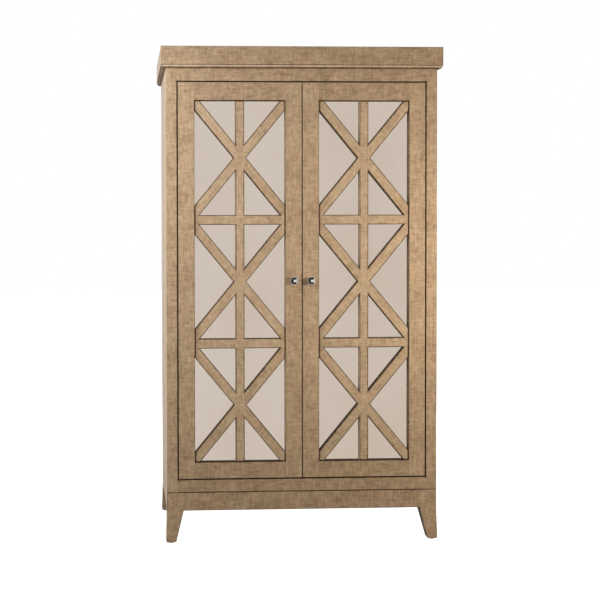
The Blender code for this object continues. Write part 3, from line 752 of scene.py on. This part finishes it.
# Painted shade on the back legs, which stand in shade under the case.
BACK_LEG_PAINTED_SHADE = 0.35
LEG_EASE = 2.4 * MM
leg_inner_x = apron_high.x


def leg_edge(middle):
    below_apron = apron_low.z - NEAR > middle.z > 10 * MM
    at_outside = near(middle.y, apron_low.y) or near(middle.y, cad_high.y)
    outer_corner = at_outside and abs(middle.x) > leg_inner_x + 30 * MM
    return below_apron or (outer_corner and middle.z > apron_low.z) or near(middle.z, apron_high.z)


# Glaze and painted shade: the legs' inward faces below the apron are dark, and the back legs are painted
# darker as shade.
def leg_glaze_and_shade(normal, middle):
    inward = normal.x if middle.x < 0 else -normal.x
    if inward > 0.7 and middle.z < apron_low.z:
        return 1.0
    return 0.0 if middle.y < 0 else BACK_LEG_PAINTED_SHADE


# Painted light on the legs' bevels: below the apron those turned to the right are painted dark as shade,
# the others stay light; above the apron the corners are darkened.
def leg_rim(normal, middle):
    if middle.z > apron_low.z:
        return 0.7
    return 0.9 if normal.x > 0.2 else 0.2


def apron_edge(middle):
    at_side = near(abs(middle.x), case_x)
    outside = near(middle.y, apron_low.y) or near(middle.y, cad_high.y) or at_side
    return outside and (near(middle.z, apron_low.z) or near(middle.z, apron_high.z))


for end in ("front", "back"):
    for word, side in SIDES:
        wrap_board(f"leg_{end}_{word}", Z, leg_edge, leg_glaze_and_shade, leg_rim, width=LEG_EASE)
for place, run in (("front", X), ("back", X), ("left", Y), ("right", Y)):
    wrap_board(f"base_rail_{place}", run, apron_edge, rim=rail_rim, width=LEG_EASE)
for end in ("front", "back"):
    for word, side in SIDES:
        nodes[f"glide_{end}_{word}"].data.materials.clear()
        nodes[f"glide_{end}_{word}"].data.materials.append(BLACK)
print("base wrapped")

# %% [markdown]
# ## The door frames
#
# Each door is two stiles and two rails with a rebate at the back for the mirror. The same treatment
# as the face frame does it: only the outline and the edges of the opening are softened, and every face
# that looks into a gap or at the mirror is dark with glaze and painted shade. The sides of the mirror
# recesses are painted pale on the left door, as if lit, and darker on the right door, a painted shade.

# %% Door frames
door_low, door_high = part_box("right_door_hinge_stile")
view_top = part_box("right_door_top_rail")[0].z
view_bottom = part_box("right_door_bottom_rail")[1].z
view_outer = door_low.x
view_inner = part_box("right_door_meeting_stile")[1].x
DOOR_EASE = 1.7 * MM
DOOR_MIDDLE_GAP = 5 * MM


# Glaze and painted shade on the side faces of the door parts. The sides of the mirror recess are painted by
# door: pale on the left door as if lit, darker on the right door as painted shade.
def door_glaze_and_painted_light(normal, middle):
    if abs(normal.y) > 0.5:
        return 0.0
    between_stiles = view_inner - NEAR < abs(middle.x) < view_outer + NEAR
    between_rails = view_bottom - NEAR < middle.z < view_top + NEAR
    if between_stiles and between_rails and abs(normal.x) > 0.5:
        return 0.1 if middle.x < 0 else 0.6
    return 0.95


# Glaze and painted shade on the softened edges, lighter at the gap between the doors.
def door_rim(normal, middle):
    return 0.4 if abs(middle.x) < DOOR_MIDDLE_GAP else GAP_GLAZE_AND_SHADE


def door_edge(middle):
    on_face = near(middle.y, door_low.y) or near(middle.y, door_high.y)
    x = abs(middle.x)
    long_side = near(x, door_high.x) or near(x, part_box("right_door_meeting_stile")[0].x)
    end = near(middle.z, door_high.z) or near(middle.z, door_low.z)
    at_hinge = x > leaf_end_x + HINGE_CLEAR
    beside_glass = (near(x, view_outer) or near(x, view_inner)) and view_bottom < middle.z < view_top
    over_glass = near(middle.z, view_top) or near(middle.z, view_bottom)
    in_opening = at_front(middle) and (beside_glass or over_glass)
    return on_face and (long_side or (end and not at_hinge) or in_opening)


view_heights = ((Z, view_top), (Z, view_bottom))
for word, side in SIDES:
    for part in ("hinge_stile", "meeting_stile"):
        wrap_board(f"{word}_door_{part}", Z, door_edge, door_glaze_and_painted_light, door_rim, view_heights, width=DOOR_EASE)
    for part in ("top_rail", "bottom_rail"):
        wrap_board(f"{word}_door_{part}", X, door_edge, door_glaze_and_painted_light, door_rim, width=DOOR_EASE)
print("door frames wrapped")

# %% [markdown]
# ## The lattice
#
# The lattice is one flat fretwork: an upright bar, two level bars, and an X in each of the three
# panels. It could be cut out of a plate with Booleans, but then its face would be a tangle of
# triangles. Instead a single flat face is sliced along every bar's edges, the cells that fall in the
# openings are deleted, and the sheet that is left is given its thickness. An inset runs a narrow
# strip along every edge for a dark line, and each bar's cloth runs along the bar. The bars' sides are
# painted light and shade: pale where they face left toward the lamp, dark elsewhere, and the whole
# lattice is painted a little paler than the boards.

# %% Lattice
UPRIGHT_BAR = 36 * MM
LEVEL_BAR = 40 * MM
SLANTED_BAR = 40 * MM
SLANT_DROP = 6.5 * MM  # in height, from a panel's corner to a slanted bar's middle line
ROWS = 3
GLAZE_LINE = 2.4 * MM
BAR_EASE = 0.9 * MM

panel_height = (view_top - view_bottom - (ROWS - 1) * LEVEL_BAR) / ROWS
half_width = (view_outer - view_inner) / 2
slope = (panel_height / 2 - SLANT_DROP) / half_width
slant = Vector((1, 0, slope)).normalized()
panel_middles = [view_bottom + panel_height / 2 + row * (panel_height + LEVEL_BAR) for row in range(ROWS)]


def bar_at(x, z):
    """The direction of the bar at a point, with x from the lattice's middle, or None in an opening."""
    panel_z = min(panel_middles, key=lambda middle: abs(middle - z))
    if abs(z - panel_z) > panel_height / 2:
        return Vector((1, 0, 0))
    if abs(x) < UPRIGHT_BAR / 2:
        return Vector((0, 0, 1))
    for way in (1, -1):
        direction = Vector((slant.x, 0, way * slant.z))
        distance = abs(direction.x * (z - panel_z) - direction.z * x)
        if distance < SLANTED_BAR / 2:
            return direction
    return None


def slice_sheet(shape, faces, point, normal):
    edges = {edge for face in faces for edge in face.edges}
    corners = {corner for face in faces for corner in face.verts}
    bmesh.ops.bisect_plane(
        shape,
        geom=[*corners, *edges, *faces],
        dist=SAME_POINT,
        plane_co=point,
        plane_no=normal,
    )


def sliced_sheet(low, high):
    """A flat face between two corners, sliced along the edges of every bar."""
    shape = new_shape()
    bmesh.ops.create_grid(shape, x_segments=1, y_segments=1, size=0.5)
    bmesh.ops.rotate(shape, verts=shape.verts, cent=(0, 0, 0), matrix=Matrix.Rotation(math.pi / 2, 3, "X"))
    bmesh.ops.scale(shape, verts=shape.verts, vec=(high.x - low.x, 1, high.z - low.z))
    middle = (low + high) / 2
    bmesh.ops.translate(shape, verts=shape.verts, vec=(middle.x, low.y, middle.z))
    for offset in (-UPRIGHT_BAR / 2, UPRIGHT_BAR / 2):
        slice_sheet(shape, shape.faces[:], (middle.x + offset, 0, 0), (1, 0, 0))
    for panel_z in panel_middles:
        for offset in (-panel_height / 2, panel_height / 2):
            slice_sheet(shape, shape.faces[:], (0, 0, panel_z + offset), (0, 0, 1))
    for panel_z in panel_middles:
        for way in (1, -1):
            for offset in (-SLANTED_BAR / 2, SLANTED_BAR / 2):
                normal = Vector((-way * slant.z, 0, slant.x))
                point = Vector((middle.x, 0, panel_z)) + normal * offset
                panel = [
                    face
                    for face in shape.faces
                    if abs(face.calc_center_median().z - panel_z) < panel_height / 2
                ]
                slice_sheet(shape, panel, point, normal)
    return shape


def build_lattice(word):
    node = f"{word}_door_lattice"
    low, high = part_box(node)
    middle_x = (low.x + high.x) / 2
    shape = sliced_sheet(low, high)
    openings = []
    for face in shape.faces:
        spot = face.calc_center_median()
        if bar_at(spot.x - middle_x, spot.z) is None:
            openings.append(face)
    bmesh.ops.delete(shape, geom=openings, context="FACES")
    bmesh.ops.remove_doubles(shape, verts=shape.verts, dist=SAME_POINT)

    strips = bmesh.ops.inset_region(
        shape,
        faces=shape.faces[:],
        thickness=BAR_EASE + GLAZE_LINE,
        use_boundary=True,
        use_even_offset=True,
    )["faces"]
    glaze_and_painted_light = shape.faces.layers.float["glaze_and_painted_light"]
    for face in strips:
        face[glaze_and_painted_light] = 0.8

    front = shape.faces[:]
    grown = bmesh.ops.extrude_face_region(shape, geom=front)["geom"]
    moved = [item for item in grown if isinstance(item, bmesh.types.BMVert)]
    bmesh.ops.translate(shape, verts=moved, vec=(0, high.y - low.y, 0))
    bmesh.ops.recalc_face_normals(shape, faces=shape.faces)
    front_rim = [
        edge
        for edge in shape.edges
        if edge.calc_face_angle(0) > math.radians(80) and all(near(v.co.y, low.y) for v in edge.verts)
    ]
    soften(shape, front_rim, BAR_EASE, 2)
    # Painted light on the bars' sides: those facing left, toward the lamp, are painted pale, the others
    # dark as painted shade.
    for face in shape.faces:
        if face.normal.x < -0.9:
            face[glaze_and_painted_light] = 0.2
        elif abs(face.normal.y) < 0.95:
            face[glaze_and_painted_light] = 0.95 if abs(face.normal.y) < 0.3 else 0.75

    cloth = shape.loops.layers.uv["cloth"]
    painted_board_light = shape.faces.layers.float["painted_board_light"]
    for face in shape.faces:
        face[painted_board_light] = LATTICE_PAINTED_LIGHT
        spot = face.calc_center_median() - face.normal * 2 * MM
        direction = bar_at(spot.x - middle_x, spot.z) or Vector((0, 0, 1))
        sideways = Vector((0, 1, 0)).cross(direction)
        for corner in face.loops:
            place = corner.vert.co
            depth = place.y if abs(face.normal.y) < 0.5 else 0
            corner[cloth].uv = (place.dot(direction) + direction.x, place.dot(sideways) + depth)
    print(f"{node}: {len(shape.faces)} faces, open edges {sum(edge.is_boundary for edge in shape.edges)}")
    pick_glaze_and_shade(shape)
    add_piece(f"{node}_wrapped", shape, [WOVEN, GLAZE_AND_SHADE_WRAP], body_of[node], [node])


for word, side in SIDES:
    build_lattice(word)

# %% [markdown]
# ## Mirrors and boards behind them
#
# The mirrors and the boards that hold them in the rebates are plain sheets, and their solids have the
# right shape already. They keep it and only get their finish. The boards inside the case get a small
# bevel on the edges that a hand would touch.

# %% Sheets and inside boards
BOARD_EASE = 0.8 * MM


def refinish(node, finish):
    nodes[node].data.materials.clear()
    nodes[node].data.materials.append(finish)


for word, side in SIDES:
    refinish(f"{word}_door_mirror", MIRROR)
    refinish(f"{word}_door_back_board", INSIDE_UPRIGHT)

for node, finish in (
    ("back_panel", INSIDE_UPRIGHT),
    ("bottom_deck", INSIDE_LEVEL),
    ("top_deck", INSIDE_LEVEL),
    ("upper_shelf", INSIDE_LEVEL),
    ("cap_back_rail", INSIDE_LEVEL),
):
    shape = solid_copy(node)
    board_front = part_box(node)[0].y
    soften(shape, arrises(shape, lambda middle: near(middle.y, board_front)), BOARD_EASE)
    add_piece(f"{node}_eased", shape, [finish], body_of[node], [node])
print("sheets and inside boards finished")

# %% [markdown]
# ## The knobs
#
# A knob is a square block on a short neck, with a low pyramid cut on its face and a small flat tip.
# Cast and polished corners are never quite sharp, and the narrow bevels are what glints. The block is
# a cube. Insetting its front face and pulling the inset forward makes the pyramid, and doing the same
# at the back, pushed in, makes the neck.

# %% Knobs
KNOB_BLOCK = 6 * MM
KNOB_LIP = 1.0 * MM
KNOB_TIP = 8.5 * MM
KNOB_NECK = 13 * MM
KNOB_NECK_LENGTH = 15 * MM
KNOB_EASE = 0.35 * MM


def build_knob(word):
    node = f"{word}_door_knob"
    low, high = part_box(node)
    middle = (low + high) / 2
    size = high.x - low.x
    block_back = high.y - KNOB_NECK_LENGTH
    shape = bmesh.new()
    bmesh.ops.create_cube(shape, size=1)
    bmesh.ops.scale(shape, verts=shape.verts, vec=(size, KNOB_BLOCK, size))
    bmesh.ops.translate(shape, verts=shape.verts, vec=(middle.x, block_back - KNOB_BLOCK / 2, middle.z))

    def toward(sign):
        return [face for face in shape.faces if face.normal.y * sign > 0.9]

    def inset(faces, width):
        bmesh.ops.inset_region(shape, faces=faces, thickness=width, use_even_offset=True)

    front = toward(-1)
    back = toward(1)
    inset(front, KNOB_LIP)
    inset(front, (size - KNOB_TIP) / 2 - KNOB_LIP)
    forward = low.y - (block_back - KNOB_BLOCK)
    bmesh.ops.translate(shape, verts=front[0].verts, vec=(0, forward, 0))
    inset(back, (size - KNOB_NECK) / 2)
    pushed = bmesh.ops.extrude_face_region(shape, geom=back)["geom"]
    bmesh.ops.delete(shape, geom=back, context="FACES_ONLY")
    moved = [item for item in pushed if isinstance(item, bmesh.types.BMVert)]
    bmesh.ops.translate(shape, verts=moved, vec=(0, KNOB_NECK_LENGTH, 0))
    bmesh.ops.recalc_face_normals(shape, faces=shape.faces)
    soften(shape, arrises(shape, lambda spot: spot.y < high.y - NEAR), KNOB_EASE)
    add_piece(f"{node}_faceted", shape, [NICKEL], body_of[node], [node])


for word, side in SIDES:
    build_knob(word)
    refinish(f"{word}_door_knob_screw", STEEL)
print("knobs made")

# %% [markdown]
# ## Hinges, rail and catch
#
# The doors turn on knife hinges let into their ends, which is why no knuckles show from the front.
# Small hardware is stamped or turned, so narrow bevels and a metal finish are enough.

# %% Fittings
HARDWARE_EASE = 0.25 * MM
for word, side in SIDES:
    for level in ("top", "bottom"):
        for owner in ("frame", "door"):
            node = f"{word}_{owner}_leaf_{level}"
            shape = solid_copy(node)
            soften(shape, arrises(shape, lambda middle: True, math.radians(60)), HARDWARE_EASE, 1)
            add_piece(f"{node}_eased", shape, [BRONZE], body_of[node], [node])
    refinish(f"rail_socket_{word}", STEEL)
    refinish(f"{word}_door_catch_strike", STEEL)
refinish("hanging_rail", STEEL)
refinish("magnetic_catch", BLACK)
print("fittings finished")

# %% Check the sizes and finish
made_low, made_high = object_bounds()
differences = [abs(part) / MM for part in (*(made_low - cad_low), *(made_high - cad_high))]
print("largest difference from the solids' box, mm:", round(max(differences), 2))
